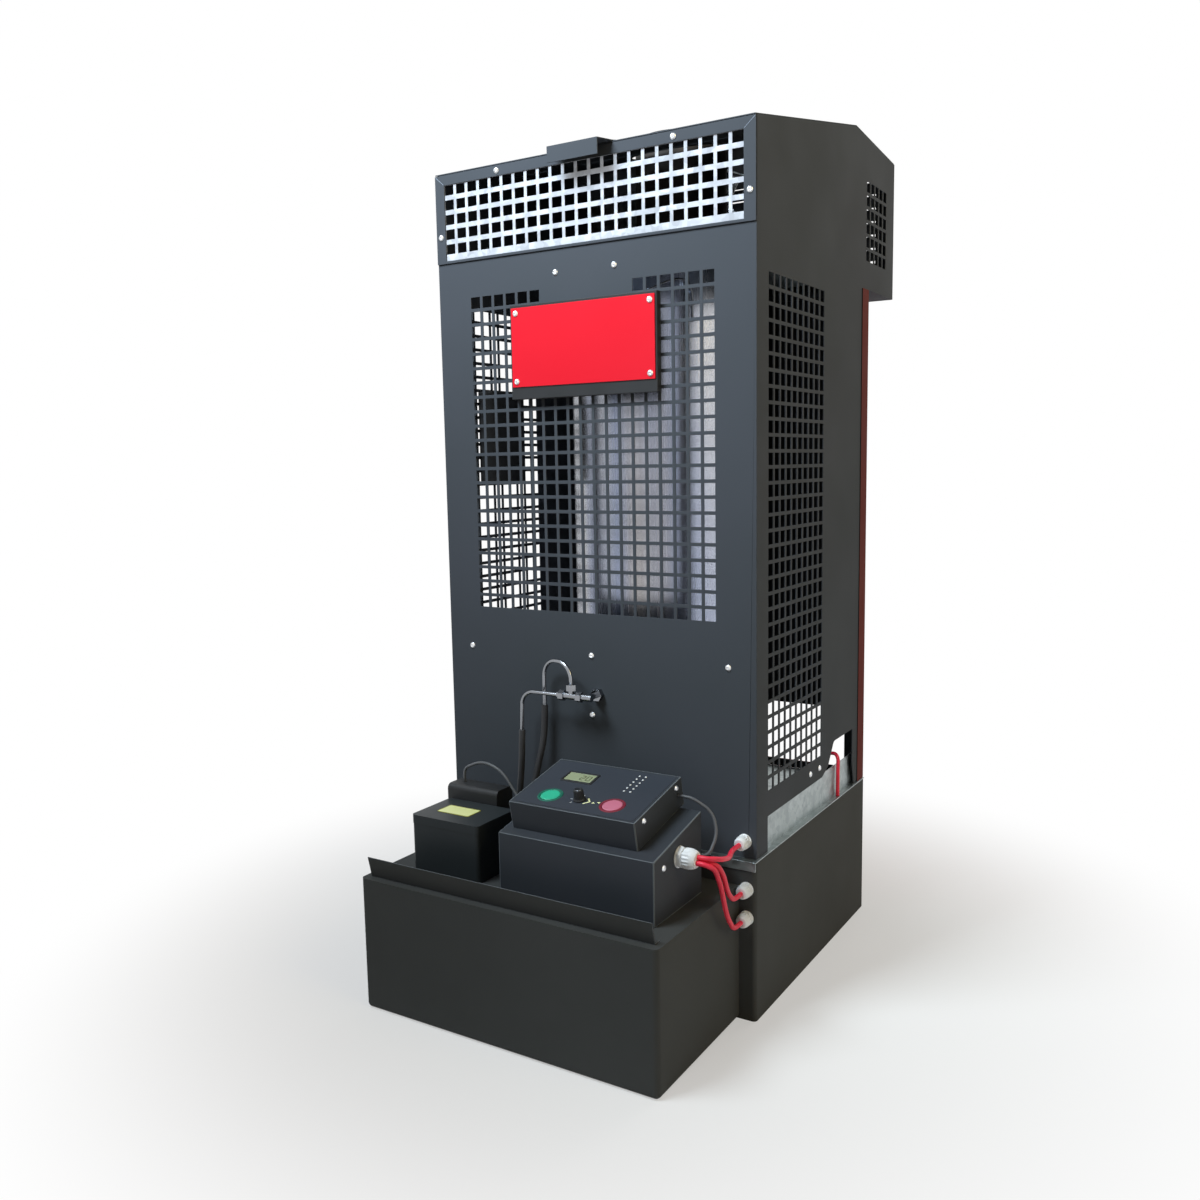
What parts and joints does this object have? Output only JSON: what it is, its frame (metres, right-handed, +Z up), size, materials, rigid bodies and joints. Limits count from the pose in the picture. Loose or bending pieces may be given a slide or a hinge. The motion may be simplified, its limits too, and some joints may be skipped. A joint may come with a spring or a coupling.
{
  "type": "multi-fuel space heater",
  "caption": "Tall cabinet oil heater with punched panels, opening lid, burner, fans, fuel tank and tilted control box.",
  "frame": {"origin": "on the floor under the middle of the whole heater's box", "axes": "+Z up, -Y towards the operator and the tank, +X to the operator's right"},
  "size_m": [0.544, 0.855, 1.3198],
  "materials": {
    "cabinet_paint": "satin dark grey powder coat",
    "front_red": "gloss red powder coat",
    "galvanised": "galvanised",
    "bright_mesh": "bright zinc",
    "stainless": "brushed",
    "cast_iron": "cast, heat dulled",
    "red_plate": "gloss red",
    "black_plastic": "matte",
    "motor_paint": "satin black",
    "white_nylon": "matte",
    "red_silicone": "matte",
    "black_rubber": "matte",
    "bright_steel": "zinc plated",
    "green_cap": "satin",
    "red_cap": "satin",
    "board_green": "lacquered",
    "display_dark": "gloss"
  },
  "bodies": {
    "heater": {"base_housing": "cabinet_paint", "drip_tray": "galvanised", "fuel_tank": "cabinet_paint", "tank_rim": "cabinet_paint", "side_panel_right": "cabinet_paint", "side_panel_left": "cabinet_paint", "side_grille_right": "cabinet_paint", "side_grille_left": "cabinet_paint", "hood_grille_right": "cabinet_paint", "hood_grille_left": "cabinet_paint", "rear_panel": "cabinet_paint", "top_grille_frame": "cabinet_paint", "top_grille_mesh": "bright_mesh", "front_panel": "front_red", "hood_front": "cabinet_paint", "outlet_louvres": "cabinet_paint", "roof_panel": "cabinet_paint", "roof_hinges": "bright_steel", "combustion_chamber": "stainless", "flue_collar": "stainless", "burner_pot": "cast_iron", "burner_ring": "cast_iron", "burner_legs": "galvanised", "air_pipe": "galvanised", "blower_housing": "galvanised", "blower_motor": "motor_paint", "fan_plate": "galvanised", "fan_motor": "motor_paint", "fan_bracket": "bright_steel", "plate_box": "black_plastic", "red_plate": "red_plate", "thermostat_box": "black_plastic", "capillary": "bright_steel", "screws": "bright_steel", "control_stand": "cabinet_paint", "control_box": "cabinet_paint", "control_board": "board_green", "panel_display": "display_dark", "pump_box": "motor_paint", "pump_box_lid": "motor_paint", "pump_motor_cover": "black_plastic", "suction_pipe": "bright_steel", "feed_tee": "bright_steel", "fuel_fittings": "bright_steel", "fuel_pipes": "bright_steel", "fuel_hoses": "black_rubber", "burner_feed_pipe": "bright_steel", "cable_glands": "white_nylon", "red_leads": "red_silicone", "control_leads": "black_rubber"},
    "roof_lid": {"lid": "cabinet_paint", "lid_handle": "cabinet_paint", "lid_hinges": "bright_steel"},
    "hatch": {"lighting_hatch": "cast_iron"},
    "start_cap": {"start_button": "green_cap"},
    "stop_cap": {"stop_button": "red_cap"},
    "knob": {"selector_knob": "black_plastic"},
    "hot_air_rotor": {"fan_rotor": "bright_mesh"},
    "combustion_rotor": {"blower_wheel": "galvanised"},
    "tank_cap": {"filler_cap": "black_plastic"}
  },
  "joints": [
    {"name": "lid_hinge", "type": "hinge", "parent": "heater", "child": "roof_lid", "pos_m": [0, 0.0415, 1.28673], "axis": [-1, 0, 0], "range_deg": [0, 85]},
    {"name": "hatch_hinge", "type": "hinge", "parent": "heater", "child": "hatch", "pos_m": [0, 0.0355, 1.129], "axis": [-1, 0, 0], "range_deg": [0, 80]},
    {"name": "start_press", "type": "slide", "parent": "heater", "child": "start_cap", "axis": [0, 0.2079, -0.9781], "range_m": [0, 0.0012], "stiffness_N_per_m": 400, "springref_m": -0.001},
    {"name": "stop_press", "type": "slide", "parent": "heater", "child": "stop_cap", "axis": [0, 0.2079, -0.9781], "range_m": [0, 0.0012], "stiffness_N_per_m": 400, "springref_m": -0.001},
    {"name": "selector_turn", "type": "hinge", "parent": "heater", "child": "knob", "pos_m": [0.075, -0.33075, 0.33658], "axis": [0, -0.2079, 0.9781], "range_deg": [-135, 135]},
    {"name": "fan_spin", "type": "hinge", "parent": "heater", "child": "hot_air_rotor", "pos_m": [0, 0.2715, 1.19], "axis": [0, 1, 0], "continuous": true},
    {"name": "blower_spin", "type": "hinge", "parent": "heater", "child": "combustion_rotor", "pos_m": [0, 0.0105, 0.095], "axis": [1, 0, 0], "continuous": true},
    {"name": "cap_turn", "type": "hinge", "parent": "heater", "child": "tank_cap", "pos_m": [0.13, -0.2105, 0.22], "axis": [0, 0, 1], "range_deg": [0, 90]}
  ]
}
